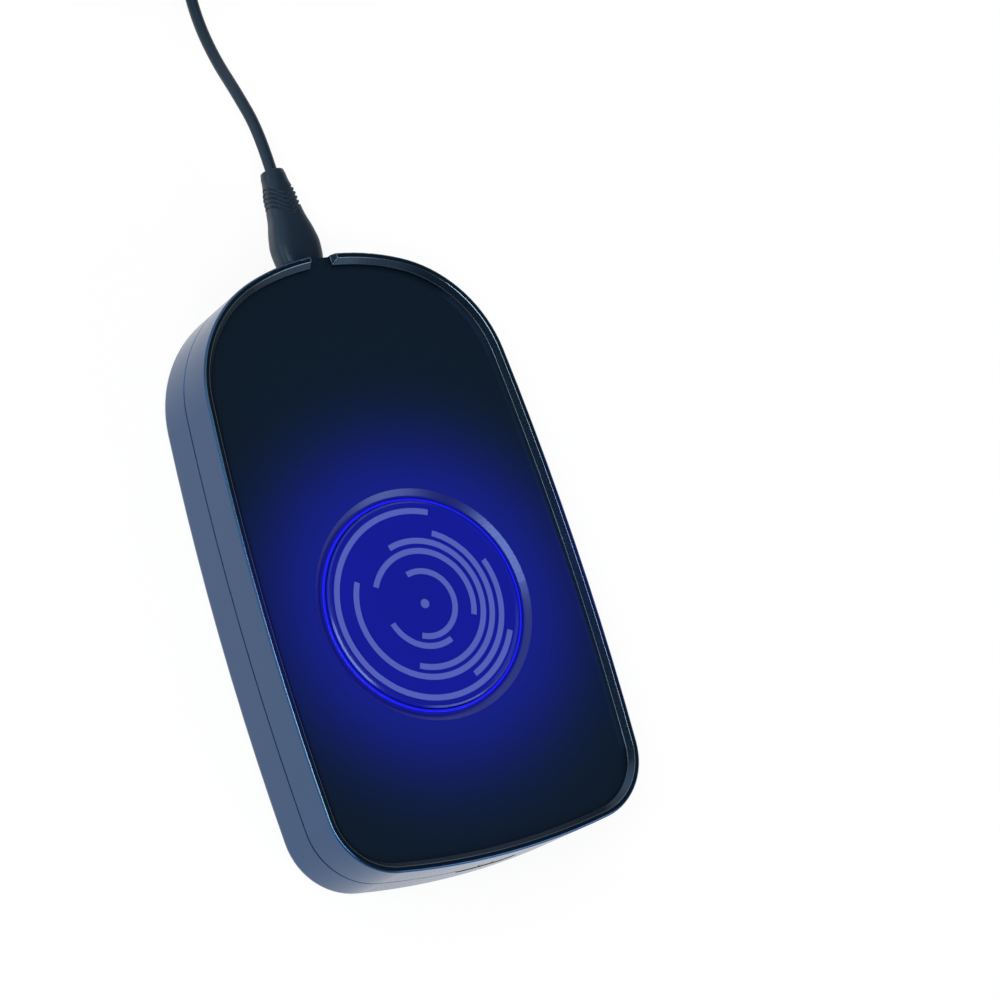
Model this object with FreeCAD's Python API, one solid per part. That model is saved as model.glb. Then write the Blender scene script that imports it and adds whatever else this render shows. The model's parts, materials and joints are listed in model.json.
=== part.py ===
"""Turntable mouse mover: a shallow tray with a slowly turning patterned disc.

A computer mouse rests in the tray with its sensor over the disc.  A small geared
motor turns the disc, a light ring glows round it, and a lead with a micro plug
feeds the case at the back.

Frame: origin on the table under the middle of the case, +X to the right,
+Y to the back (the plug's end), +Z up.  Millimetres.
"""
import FreeCAD, Part
import math
import os

Vector = FreeCAD.Vector

# ---- General: how far a cut runs past its piece, how deep a post is rooted ----
past = 1.0
root = 0.5
running_gap = 0.05
fit_gap = 0.1

# ---- Case outline, seen from above: tangent arcs, symmetric left and right ----
body_length = 126.0
body_width = 73.5
widest_y = -16.0
side_radius = 628.0
back_radius = 48.9
front_radius = 154.4
back_corner_radius = 26.7
front_corner_radius = 13.9

# ---- Case heights and walls ----
foot_proud = 0.8
case_height = 22.2
seam_height = 11.6
wall = 2.0
bottom_edge_radius = 2.0
top_edge_radius = 0.5
seam_bevel = 0.25
lip_height = 1.4
lip_thickness = 0.9

# ---- Rim and tray ----
rim_flat = 1.1
rim_slope_run = 1.1
rim_slope_depth = 1.2
rim_edge_radius = 0.3
tray_depth = 2.4
tray_thickness = 1.8
notch_left = 2.75
notch_right = 3.25
notch_reach = 8.0

# ---- Disc well, light ring and disc ----
disc_axis_y = -10.74
well_depth = 0.85
well_bevel_run = 1.25
well_groove = 0.55
ring_outer_radius = 22.05
ring_width = 0.6
ring_height = 2.85
ring_flange_width = 2.5
ring_flange_thickness = 1.0
ring_edge_radius = 0.12
ring_boss_wall = 1.0
disc_gap = 0.25
disc_rise = 0.55
pattern_thickness = 0.75
pattern_edge_radius = 0.15
turntable_plate_thickness = 2.45

# ---- Gear train: module, teeth, face widths ----
gear_module = 0.5
pressure_angle = 20.0
backlash = 0.12
tooth_rise = 0.9
tooth_drop = 1.2
table_teeth = 60
wheel_teeth = 48
pinion_teeth = 12
table_gear_width = 1.8
wheel_width = 2.0
gear_gap = 0.5
pinion_top_gap = 0.4
idler_collar_wall = 1.0

# ---- Spindle, idler pin and motor ----
spindle_radius = 1.5
hub_radius = 4.5
hub_recess_radius = 3.0
washer_thickness = 0.4
washer_play = 0.05
clip_thickness = 0.5
clip_groove_depth = 0.3
clip_seat_depth = 0.2
clip_edge_gap = 0.3
clip_mouth = 1.8
spindle_tip = 0.4
idler_pin_radius = 0.75
motor_radius = 10.0
motor_height = 6.6
motor_edge_radius = 1.0
motor_flange_thickness = 0.6
motor_ear_reach = 13.0
motor_ear_width = 5.0
motor_shaft_radius = 1.0
motor_shaft_depth = 4.0
motor_shaft_proud = 0.2
motor_boss_radius = 2.5

# ---- Chassis plate ----
chassis_thickness = 1.5
chassis_half_width = 24.0
chassis_front_reach = 23.3
chassis_corner_radius = 4.0
chassis_post_inset = 4.0
chassis_hub_radius = 5.0
chassis_hub_depth = 2.0

# ---- Light board ----
light_board_thickness = 0.8
light_board_gap = 0.75
light_board_reach = 7.45
light_post_reach = 5.35
light_count = 4
light_post_count = 3
light_height = 1.0
light_length = 3.0
light_depth = 1.5

# ---- Screws and posts ----
case_screw_radius = 1.25
case_screw_length = 11.0
small_screw_radius = 0.8
small_screw_length = 5.0
light_screw_length = 3.0
screw_tip_room = 0.4
head_ratio = 1.85
head_height_ratio = 1.1
post_wall = 1.7
thread_gap = 0.02
case_post_split = 7.2
head_seat_height = 3.2
front_screw_inset = 8.7
front_screw_angle = -18.0
back_screw_inset = 10.9
back_screw_angle = 27.0

# ---- Rubber feet ----
foot_radius = 5.0
foot_recess = 0.8
foot_edge_radius = 0.35

# ---- Power button and its switch ----
button_width = 13.0
button_height = 4.4
button_gap = 0.3
button_inset = 0.1
button_flange = 1.2
button_flange_thickness = 1.0
button_flange_gap = 0.15
button_travel = 0.5
button_stem_width = 5.0
button_stem_height = 3.0
button_stem_length = 2.65
button_mark_radius = 1.55
button_mark_width = 0.35
button_mark_depth = 0.25
switch_size = 6.0
switch_depth = 3.5
plunger_radius = 1.7
plunger_reach = 0.9
plunger_depth = 1.6
plunger_end_gap = 0.4
switch_edge_bevel = 0.4
switch_board_thickness = 1.0
switch_board_width = 18.0
switch_board_top = 4.0
rail_wall = 1.5
rail_overlap = 1.5
rail_height = 8.0

# ---- Main board, socket and chips ----
main_board_width = 28.0
main_board_depth = 15.0
main_board_setback = 6.0
main_board_thickness = 1.0
main_post_inset = 3.0
board_notch_width = 4.0
board_notch_depth = 3.0
socket_width = 7.7
socket_height = 2.7
socket_setback = 1.8
socket_depth = 6.4
socket_wall = 0.3
socket_back_wall = 1.0
socket_corner_radius = 0.6
tongue_width = 3.9
tongue_thickness = 0.5
tongue_length = 3.6
port_width = 9.0
port_height = 4.2
port_rise = 0.9
chip_size = 5.0
chip_height = 1.0
chip_setback = 4.5
chip_bevel = 0.15
capacitor_radius = 2.5
capacitor_height = 5.0
capacitor_side_inset = 4.5
capacitor_back_inset = 5.3
capacitor_edge_radius = 0.4

# ---- Micro plug on the lead ----
plug_shell_width = 6.9
plug_shell_height = 1.9
plug_shell_wall = 0.25
plug_shell_corner_radius = 0.4
plug_pocket_depth = 2.0
plug_insertion = 4.6
plug_wall_gap = 0.3
plug_length = 21.7
plug_front_width = 9.4
plug_grip_width = 10.3
plug_waist_width = 7.0
plug_collar_width = 5.2
plug_front_height = 6.6
plug_grip_height = 7.0
plug_waist_height = 5.8
plug_collar_height = 5.1
plug_grip_at = 5.4
plug_waist_at = 12.6
plug_waist_length = 4.6
plug_collar_length = 2.6
plug_end_radius = 0.5
plug_roundness = 0.36
rib_count = 5
rib_proud = 0.3
rib_thickness = 0.5

# ---- Lead, coil, tie and far plug: the run counts from the near plug's end, the tail from the coil ----
cable_radius = 1.25
cable_run_steps = [
    (0.2, 9.0, 12.9),
    (-0.3, 19.0, 9.8),
    (-0.2, 29.0, 5.0),
    (0.2, 39.5, 1.9),
    (1.1, 50.5, 1.3),
    (0.6, 60.0, 1.6),
    (-0.5, 67.5, 1.9),
]
coil_centre_x = -19.8
coil_distance = 71.5
coil_mid_radius = 15.0
coil_turns = 11.75
coil_layers = 4
coil_lift = 0.7
tie_thickness = 0.7
tie_width = 3.0
tie_angle = 130.0
cable_tail_steps = [
    (7.3, -18.6, 9.4),
    (14.3, -18.3, 8.6),
    (22.8, -17.6, 6.7),
    (31.8, -17.9, 4.8),
    (40.8, -18.7, 4.3),
]
far_plug_width = 15.4
far_plug_height = 7.8
far_plug_length = 21.0
far_relief_length = 6.0
far_relief_radius = 2.2
far_relief_end_radius = 3.1
far_grip_radius = 2.0
far_pocket_depth = 3.0
far_tongue_inset = 0.4
far_shell_width = 12.0
far_shell_height = 4.5
far_shell_length = 18.6
far_shell_wall = 0.35
far_tongue_thickness = 1.9

# ---- Leads inside the case ----
lead_radius = 0.6
lead_floor_gap = 0.1
motor_lead_rise = 2.0
motor_lead_side = 2.0
switch_lead_start = 5.0
switch_lead_side = 6.6
switch_lead_bow = 9.0
light_lead_angle = 54.0
light_lead_side = 8.0
light_lead_bow = 1.0
light_lead_drop = 2.1
light_lead_arch = 2.6
lead_board_inset = 3.6
lead_shares = (0.04, 0.2, 0.4, 0.6, 0.8, 0.96)

# ---- Heights worked out from the sizes above ----
shell_bottom = foot_proud
floor_top = shell_bottom + wall
case_post_z = shell_bottom + case_post_split
seam_z = shell_bottom + seam_height
rim_top = shell_bottom + case_height
tray_z = rim_top - tray_depth
tray_under = tray_z - tray_thickness
ring_top = tray_z - well_depth
ring_bottom = ring_top - ring_height
disc_top = ring_top + disc_rise
disc_bottom = disc_top - pattern_thickness
plate_bottom = disc_bottom - turntable_plate_thickness
clip_seat_z = plate_bottom - clip_seat_depth
table_gear_bottom = plate_bottom - table_gear_width
wheel_top = table_gear_bottom - gear_gap
wheel_bottom = wheel_top - wheel_width
chassis_top = wheel_bottom - gear_gap
chassis_bottom = chassis_top - chassis_thickness
motor_top = chassis_bottom - motor_flange_thickness
motor_bottom = motor_top - motor_height
light_board_top = ring_bottom - light_height
light_board_bottom = light_board_top - light_board_thickness
port_z = seam_z + port_rise
main_board_top = port_z - socket_height / 2
main_board_bottom = main_board_top - main_board_thickness

# ---- Places in plan ----
half_length = body_length / 2
disc_radius = ring_outer_radius - ring_width - disc_gap
table_pitch_radius = gear_module * table_teeth / 2
wheel_pitch_radius = gear_module * wheel_teeth / 2
pinion_pitch_radius = gear_module * pinion_teeth / 2
idler_y = disc_axis_y + table_pitch_radius + pinion_pitch_radius
motor_y = idler_y + wheel_pitch_radius + pinion_pitch_radius
idler_reach = idler_y - disc_axis_y + pinion_pitch_radius + tooth_rise * gear_module
light_board_inner_radius = idler_reach + light_board_gap
light_board_outer_radius = ring_outer_radius + light_board_reach
light_post_circle = ring_outer_radius + light_post_reach
chassis_front_y = disc_axis_y - chassis_front_reach
chassis_back_y = motor_y + motor_radius
chassis_post_x = chassis_half_width - chassis_post_inset
button_flange_front = wall + button_flange_gap
button_flange_back = button_flange_front + button_flange_thickness
plunger_front_y = -half_length + button_flange_back + button_stem_length
switch_front_y = plunger_front_y + plunger_reach
switch_board_y = switch_front_y + switch_depth
main_board_back_y = half_length - main_board_setback
main_board_front_y = main_board_back_y - main_board_depth
main_post_x = main_board_width / 2 - main_post_inset
socket_mouth_y = half_length - socket_setback
plug_front_y = half_length + plug_wall_gap
plug_end_y = plug_front_y + plug_length
coil_centre_y = plug_end_y + coil_distance
coil_top = coil_lift + 2 * cable_radius * coil_layers
chassis_posts = {
    "front_left": (-chassis_post_x, chassis_front_y + chassis_post_inset),
    "front_right": (chassis_post_x, chassis_front_y + chassis_post_inset),
    "back_left": (-chassis_post_x, chassis_back_y - chassis_post_inset),
    "back_right": (chassis_post_x, chassis_back_y - chassis_post_inset),
}
main_posts = {
    "left": (-main_post_x, main_board_front_y + main_post_inset),
    "right": (main_post_x, main_board_front_y + main_post_inset),
}


# ======================= Small helpers =======================

def cylinder(radius, z_low, z_high, x=0.0, y=0.0):
    return Part.makeCylinder(radius, z_high - z_low, Vector(x, y, z_low))


def bore(radius, z_low, z_high, x=0.0, y=0.0):
    """A cylinder that runs past both faces of what it cuts."""
    return cylinder(radius, z_low - past, z_high + past, x, y)


def ring(outer, inner, z_low, z_high, x=0.0, y=0.0):
    return cylinder(outer, z_low, z_high, x, y).cut(bore(inner, z_low, z_high, x, y))


def box(x_low, x_high, y_low, y_high, z_low, z_high):
    corner = Vector(x_low, y_low, z_low)
    return Part.makeBox(x_high - x_low, y_high - y_low, z_high - z_low, corner)


def edges_at_height(shape, z):
    """Edges that lie wholly in the level plane at height z."""
    found = []
    for edge in shape.Edges:
        span = edge.BoundBox
        if abs(span.ZMin - z) < 1e-4 and abs(span.ZMax - z) < 1e-4:
            found.append(edge)
    return found


def pill_along_y(width, height, y_low, y_high, z):
    """A stadium-shaped bar along Y, centred on x = 0 and height z."""
    end = height / 2
    reach = width / 2 - end
    length = y_high - y_low
    bar = box(-reach, reach, y_low, y_high, z - end, z + end)
    for side in (-reach, reach):
        cap = Part.makeCylinder(end, length, Vector(side, y_low, z), Vector(0, 1, 0))
        bar = bar.fuse(cap)
    return bar.removeSplitter()


def rounded_bar_along(direction, width, height, corner, low, high, across, z):
    """A bar along X or Y with a rounded rectangular section, centred at (across, z)."""
    if direction == "y":
        bar = box(across - width / 2, across + width / 2, low, high, z - height / 2, z + height / 2)
    else:
        bar = box(low, high, across - width / 2, across + width / 2, z - height / 2, z + height / 2)
    long_edges = []
    for edge in bar.Edges:
        if abs(edge.Length - (high - low)) < 1e-6 and is_along(edge, direction):
            long_edges.append(edge)
    return bar.makeFillet(corner, long_edges)


def is_along(edge, direction):
    step = edge.Vertexes[-1].Point - edge.Vertexes[0].Point
    if direction == "y":
        return abs(step.y) > 1e-6
    return abs(step.x) > 1e-6


def save(name, shape):
    if len(shape.Solids) != 1:
        print("WARNING", name, "has", len(shape.Solids), "solids")
    if not shape.isValid():
        print("WARNING", name, "is not valid")
    shape.exportStep("parts/" + name + ".step")


# ======================= Case outline =======================

def arcs_meet(centre_a, radius_a, centre_b, radius_b, end):
    """Where two circles cross: the crossing nearest the back (end 1) or the front (end -1)."""
    gap_x = centre_b[0] - centre_a[0]
    gap_y = centre_b[1] - centre_a[1]
    gap = math.hypot(gap_x, gap_y)
    along = (gap ** 2 + radius_a ** 2 - radius_b ** 2) / (2 * gap)
    across = math.sqrt(radius_a ** 2 - along ** 2)
    base_x = centre_a[0] + along * gap_x / gap
    base_y = centre_a[1] + along * gap_y / gap
    crossings = []
    for side in (1, -1):
        crossings.append((base_x - side * across * gap_y / gap, base_y + side * across * gap_x / gap))
    return max(crossings, key=lambda place: end * place[1])


def reach_point(centre, towards, radius):
    """The point of a circle that lies on the line from its centre through another point."""
    step_x = towards[0] - centre[0]
    step_y = towards[1] - centre[1]
    length = math.hypot(step_x, step_y)
    return (centre[0] + radius * step_x / length, centre[1] + radius * step_y / length)


side_centre = (body_width / 2 - side_radius, widest_y)
back_centre = (0.0, half_length - back_radius)
front_centre = (0.0, front_radius - half_length)
back_corner = arcs_meet(side_centre, side_radius - back_corner_radius,
                        back_centre, back_radius - back_corner_radius, 1)
front_corner = arcs_meet(side_centre, side_radius - front_corner_radius,
                         front_centre, front_radius - front_corner_radius, -1)


def outline_face(inset, z):
    """The case outline, drawn a distance inside the outer wall, as a flat face."""
    front_tip = (0.0, inset - half_length)
    front_join = reach_point(front_centre, front_corner, front_radius - inset)
    low_join = reach_point(side_centre, front_corner, side_radius - inset)
    high_join = reach_point(side_centre, back_corner, side_radius - inset)
    back_join = reach_point(back_centre, back_corner, back_radius - inset)
    back_tip = (0.0, half_length - inset)
    stretches = [
        (front_centre, front_radius, front_tip, front_join),
        (front_corner, front_corner_radius, front_join, low_join),
        (side_centre, side_radius, low_join, high_join),
        (back_corner, back_corner_radius, high_join, back_join),
        (back_centre, back_radius, back_join, back_tip),
    ]
    right = [arc_edge(centre, radius - inset, start, end, z, 1) for centre, radius, start, end in stretches]
    left = [arc_edge(centre, radius - inset, start, end, z, -1) for centre, radius, start, end in stretches]
    return Part.Face(Part.Wire(Part.__sortEdges__(right + left)))


def arc_edge(centre, radius, start, end, z, side):
    """An arc from start to end about a centre; side -1 mirrors it to the left."""
    middle = reach_point(centre, ((start[0] + end[0]) / 2, (start[1] + end[1]) / 2), radius)
    places = [Vector(side * x, y, z) for x, y in (start, middle, end)]
    return Part.Arc(*places).toShape()


def outline_block(inset, z_low, z_high):
    return outline_face(inset, z_low).extrude(Vector(0, 0, z_high - z_low))


def outline_band(outer_inset, inner_inset, z_low, z_high):
    """A wall that follows the outline between two insets."""
    band = outline_block(outer_inset, z_low, z_high)
    return band.cut(outline_block(inner_inset, z_low - past, z_high + past))


def case_screw_places():
    """The four case screws, a set distance inside the corner arcs."""
    places = {}
    corners = [
        ("front", front_corner, front_corner_radius - front_screw_inset, front_screw_angle),
        ("back", back_corner, back_corner_radius - back_screw_inset, back_screw_angle),
    ]
    for name, centre, reach, angle in corners:
        x = centre[0] + reach * math.cos(math.radians(angle))
        y = centre[1] + reach * math.sin(math.radians(angle))
        places[name + "_left"] = (-x, y)
        places[name + "_right"] = (x, y)
    return places


case_screws = case_screw_places()


# ======================= Case shells =======================

def tray_hollow():
    """The space inside the rim: sloping at the top, upright below."""
    top = outline_face(rim_flat, rim_top).OuterWire
    step = outline_face(rim_flat + rim_slope_run, rim_top - rim_slope_depth).OuterWire
    slope = Part.makeLoft([top, step], True, True)
    upright = outline_block(rim_flat + rim_slope_run, tray_z, rim_top - rim_slope_depth)
    return slope.fuse(upright).removeSplitter()


def rim_notch():
    """A gap in the rim at the back for the mouse's lead: upright on its left, sloping on its right."""
    foot = notch_right - rim_slope_run
    corners = [(-notch_left, tray_z), (foot, tray_z), (foot, rim_top - rim_slope_depth),
               (notch_right, rim_top), (notch_right, rim_top + past), (-notch_left, rim_top + past)]
    low_y = half_length - notch_reach
    points = [Vector(x, low_y, z) for x, z in corners + corners[:1]]
    return Part.Face(Part.makePolygon(points)).extrude(Vector(0, notch_reach + past, 0))


def disc_well():
    """The round opening in the tray: a bevel, then a bore for the light ring."""
    groove_radius = ring_outer_radius + well_groove
    bevel = Part.makeCone(groove_radius, groove_radius + well_bevel_run, well_depth,
                          Vector(0, disc_axis_y, ring_top))
    above = cylinder(groove_radius + well_bevel_run, tray_z, tray_z + past, 0, disc_axis_y)
    bore = cylinder(ring_outer_radius + fit_gap, ring_bottom, tray_z + past, 0, disc_axis_y)
    return bevel.fuse(above).fuse(bore)


def wall_openings():
    """The pill-shaped hole for the button and the slot for the plug, both on the seam."""
    button_hole = pill_along_y(button_width + 2 * button_gap, button_height + 2 * button_gap,
                               -half_length - past, -half_length + 2 * wall, seam_z)
    port_hole = pill_along_y(port_width, port_height, half_length - 2 * wall, half_length + past, port_z)
    return [button_hole, port_hole]


def light_post_places():
    places = []
    for index in range(light_post_count):
        angle = math.radians(30 + 360 * index / light_post_count)
        x = light_post_circle * math.cos(angle)
        y = disc_axis_y + light_post_circle * math.sin(angle)
        places.append((x, y))
    return places


def make_upper_shell():
    shell = outline_block(0, seam_z, rim_top)
    shell = shell.makeFillet(top_edge_radius, edges_at_height(shell, rim_top))
    shell = shell.makeChamfer(seam_bevel, edges_at_height(shell, seam_z))
    shell = shell.cut(tray_hollow()).cut(rim_notch()).removeSplitter()
    shell = shell.makeFillet(rim_edge_radius, [edge for edge in shell.Edges if is_rim_edge(edge)])
    shell = shell.cut(outline_block(wall, seam_z - past, tray_under))
    lip_room = outline_block(wall - lip_thickness - fit_gap, seam_z - past, seam_z + lip_height + fit_gap)
    shell = shell.cut(lip_room)
    boss_radius = ring_outer_radius + ring_flange_width + ring_boss_wall
    boss_bottom = ring_bottom + ring_flange_thickness
    post_top = tray_under + root
    shell = shell.fuse(cylinder(boss_radius, boss_bottom, post_top, 0, disc_axis_y))
    for x, y in case_screws.values():
        shell = shell.fuse(cylinder(case_screw_radius + post_wall, case_post_z, post_top, x, y))
    for x, y in light_post_places():
        shell = shell.fuse(cylinder(small_screw_radius + post_wall / 2, light_board_top, post_top, x, y))
    for opening in wall_openings():
        shell = shell.cut(opening)
    shell = shell.cut(disc_well())
    for x, y in case_screws.values():
        hole_top = shell_bottom + head_seat_height + case_screw_length + screw_tip_room
        shell = shell.cut(cylinder(case_screw_radius + thread_gap, shell_bottom, hole_top, x, y))
    for x, y in light_post_places():
        hole_top = light_board_bottom + light_screw_length + screw_tip_room
        shell = shell.cut(cylinder(small_screw_radius + thread_gap, light_board_bottom, hole_top, x, y))
    return shell.removeSplitter()


def is_rim_edge(edge):
    """True for both edges of the rim's slope, and for the notch's edges above the tray."""
    middle = edge.valueAt((edge.FirstParameter + edge.LastParameter) / 2)
    if middle.z < tray_z + 1e-3:
        return False
    if abs(middle.z - (rim_top - rim_slope_depth)) < 1e-3:
        return True
    if middle.y > half_length - notch_reach and -notch_left - 1e-3 < middle.x < notch_right + 1e-3:
        return True
    slope_top = outline_face(rim_flat, rim_top).OuterWire
    return slope_top.distToShape(Part.Vertex(middle))[0] < 0.05


def make_lower_shell():
    shell = outline_block(0, shell_bottom, seam_z)
    shell = shell.makeFillet(bottom_edge_radius, edges_at_height(shell, shell_bottom))
    shell = shell.makeChamfer(seam_bevel, edges_at_height(shell, seam_z))
    shell = shell.cut(outline_block(wall, floor_top, seam_z + past))
    shell = shell.fuse(outline_band(wall - lip_thickness, wall, seam_z - root, seam_z + lip_height))
    post_low = floor_top - root
    for x, y in case_screws.values():
        shell = shell.fuse(cylinder(case_screw_radius + post_wall, post_low, case_post_z, x, y))
    for x, y in chassis_posts.values():
        shell = shell.fuse(cylinder(small_screw_radius + post_wall, post_low, chassis_bottom, x, y))
    for x, y in main_posts.values():
        shell = shell.fuse(cylinder(small_screw_radius + post_wall, post_low, main_board_bottom, x, y))
    for side in (-1, 1):
        shell = shell.fuse(switch_rail(side))
    for opening in wall_openings():
        shell = shell.cut(opening)
    for x, y in case_screws.values():
        shell = shell.cut(case_screw_way(x, y))
        foot_top = shell_bottom + foot_recess
        shell = shell.cut(cylinder(foot_radius + fit_gap, shell_bottom - past, foot_top, x, y))
    for x, y in chassis_posts.values():
        shell = shell.cut(small_pilot(x, y, chassis_bottom, chassis_thickness))
    for x, y in main_posts.values():
        shell = shell.cut(small_pilot(x, y, main_board_bottom, main_board_thickness))
    return shell.removeSplitter()


def case_screw_way(x, y):
    """Clearance for a case screw: shank hole and a wider hole for its head."""
    shank = bore(case_screw_radius + fit_gap, shell_bottom, case_post_z, x, y)
    head_radius = case_screw_radius * head_ratio + fit_gap
    head = cylinder(head_radius, shell_bottom - past, shell_bottom + head_seat_height, x, y)
    return shank.fuse(head)


def small_pilot(x, y, post_top, plate):
    """The hole that a small screw cuts its thread in, from the top of a post."""
    depth = small_screw_length - plate + screw_tip_room
    return cylinder(small_screw_radius + thread_gap, post_top - depth, post_top + past, x, y)


def switch_rail(side):
    """A channel that holds one edge of the upright switch board."""
    edge_x = switch_board_width / 2
    outer = box(edge_x - rail_overlap, edge_x + rail_wall,
                switch_board_y - rail_wall, switch_board_y + switch_board_thickness + rail_wall,
                floor_top - root, floor_top + rail_height)
    slot = box(edge_x - rail_overlap - past, edge_x + fit_gap / 2,
               switch_board_y - fit_gap / 2, switch_board_y + switch_board_thickness + fit_gap / 2,
               floor_top, floor_top + rail_height + past)
    rail = outer.cut(slot)
    if side < 0:
        rail = rail.mirror(Vector(0, 0, 0), Vector(1, 0, 0))
    return rail


def make_foot(x, y):
    foot = cylinder(foot_radius, 0, shell_bottom + foot_recess, x, y)
    return foot.makeFillet(foot_edge_radius, edges_at_height(foot, 0))


# ======================= Screws =======================

def make_screw(x, y, seat_z, radius, length, up):
    """A round-head screw with a cross recess; its shank runs up or down from the seat."""
    head_radius = radius * head_ratio
    head_height = radius * head_height_ratio
    if up > 0:
        head = cylinder(head_radius, seat_z - head_height, seat_z, x, y)
        shank = cylinder(radius, seat_z, seat_z + length, x, y)
        face_z = seat_z - head_height
        recess_low = face_z
    else:
        head = cylinder(head_radius, seat_z, seat_z + head_height, x, y)
        shank = cylinder(radius, seat_z - length, seat_z, x, y)
        face_z = seat_z + head_height
        recess_low = face_z - head_height / 2
    head = head.makeFillet(head_height * 0.4, edges_at_height(head, face_z))
    slot_half = radius * 0.2
    reach = radius * 1.1
    recess_high = recess_low + head_height / 2
    recess = box(x - reach, x + reach, y - slot_half, y + slot_half, recess_low, recess_high)
    cross = box(x - slot_half, x + slot_half, y - reach, y + reach, recess_low, recess_high)
    return head.fuse(shank).cut(recess).cut(cross).removeSplitter()


# ======================= Gears =======================

def involute_angle(radius, base_radius):
    """Polar angle of the involute of a base circle, at a radius."""
    if radius <= base_radius:
        return 0.0
    pressure = math.acos(base_radius / radius)
    return math.tan(pressure) - pressure


def gear_solid(teeth, z_low, z_high, x, y, tooth_at):
    """A spur gear with a tooth pointing along the angle tooth_at, in degrees."""
    pitch_radius = gear_module * teeth / 2
    tip_radius = pitch_radius + tooth_rise * gear_module
    root_radius = pitch_radius - tooth_drop * gear_module
    base_radius = pitch_radius * math.cos(math.radians(pressure_angle))
    half_tooth = (math.pi * gear_module / 2 - backlash) / (2 * pitch_radius)
    flank_start = half_tooth + involute_angle(pitch_radius, base_radius)
    radii = [root_radius, pitch_radius - 0.5 * gear_module, pitch_radius, tip_radius]
    places = []
    for tooth in range(teeth):
        middle = math.radians(tooth_at) + 2 * math.pi * tooth / teeth
        for radius in radii:
            places.append((radius, middle - flank_start + involute_angle(radius, base_radius)))
        for radius in reversed(radii):
            places.append((radius, middle + flank_start - involute_angle(radius, base_radius)))
    points = [Vector(x + r * math.cos(a), y + r * math.sin(a), z_low) for r, a in places]
    points.append(points[0])
    return Part.Face(Part.makePolygon(points)).extrude(Vector(0, 0, z_high - z_low))


def make_turntable():
    gear = gear_solid(table_teeth, table_gear_bottom, plate_bottom, 0, disc_axis_y, 90 + 180 / table_teeth)
    plate = cylinder(disc_radius, plate_bottom, disc_bottom, 0, disc_axis_y)
    hub = cylinder(hub_radius, chassis_top + washer_thickness, plate_bottom, 0, disc_axis_y)
    body = gear.fuse(plate).fuse(hub)
    bore = cylinder(spindle_radius + running_gap, chassis_top, disc_bottom + past, 0, disc_axis_y)
    recess = cylinder(hub_recess_radius, clip_seat_z, disc_bottom + past, 0, disc_axis_y)
    return body.cut(bore).cut(recess).removeSplitter()


def make_pattern_disc():
    disc = cylinder(disc_radius, disc_bottom, disc_top, 0, disc_axis_y)
    return disc.makeFillet(pattern_edge_radius, edges_at_height(disc, disc_top))


def make_idler():
    """The stepped gear: its wide wheel meets the motor, its pinion turns the table."""
    wheel = gear_solid(wheel_teeth, wheel_bottom, wheel_top, 0, idler_y, 90)
    pinion = gear_solid(pinion_teeth, wheel_top, plate_bottom - pinion_top_gap, 0, idler_y, -90)
    collar = cylinder(idler_pin_radius + idler_collar_wall, chassis_top + fit_gap, wheel_bottom, 0, idler_y)
    body = wheel.fuse(pinion).fuse(collar)
    bore = cylinder(idler_pin_radius + running_gap, chassis_top, plate_bottom, 0, idler_y)
    return body.cut(bore).removeSplitter()


def make_motor_pinion():
    shaft_hole = bore(motor_shaft_radius, wheel_bottom, wheel_top, 0, motor_y)
    gear = gear_solid(pinion_teeth, wheel_bottom, wheel_top, 0, motor_y, -90 + 180 / pinion_teeth)
    return gear.cut(shaft_hole)


def make_motor_shaft():
    low = motor_top - motor_shaft_depth
    return cylinder(motor_shaft_radius, low, wheel_top + motor_shaft_proud, 0, motor_y)


# ======================= Motor, spindle and chassis =======================

def make_motor():
    can = cylinder(motor_radius, motor_bottom, motor_top, 0, motor_y)
    can = can.makeFillet(motor_edge_radius, edges_at_height(can, motor_bottom))
    boss = cylinder(motor_boss_radius, motor_top, chassis_top - fit_gap, 0, motor_y)
    bore_low = motor_top - motor_shaft_depth - fit_gap
    bore = cylinder(motor_shaft_radius + running_gap, bore_low, chassis_top + past, 0, motor_y)
    return can.fuse(boss).cut(bore).removeSplitter()


def make_motor_flange():
    plate = cylinder(motor_radius, motor_top, chassis_bottom, 0, motor_y)
    half_ear = motor_ear_width / 2
    bar = box(-motor_ear_reach, motor_ear_reach, motor_y - half_ear, motor_y + half_ear,
              motor_top, chassis_bottom)
    ends = cylinder(motor_ear_width / 2, motor_top, chassis_bottom, -motor_ear_reach, motor_y)
    ends = ends.fuse(cylinder(motor_ear_width / 2, motor_top, chassis_bottom, motor_ear_reach, motor_y))
    flange = plate.fuse(bar).fuse(ends)
    flange = flange.cut(bore(motor_boss_radius, motor_top, chassis_bottom, 0, motor_y))
    for x in (-motor_ear_reach, motor_ear_reach):
        flange = flange.cut(bore(small_screw_radius + fit_gap, motor_top, chassis_bottom, x, motor_y))
    return flange.removeSplitter()


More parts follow.
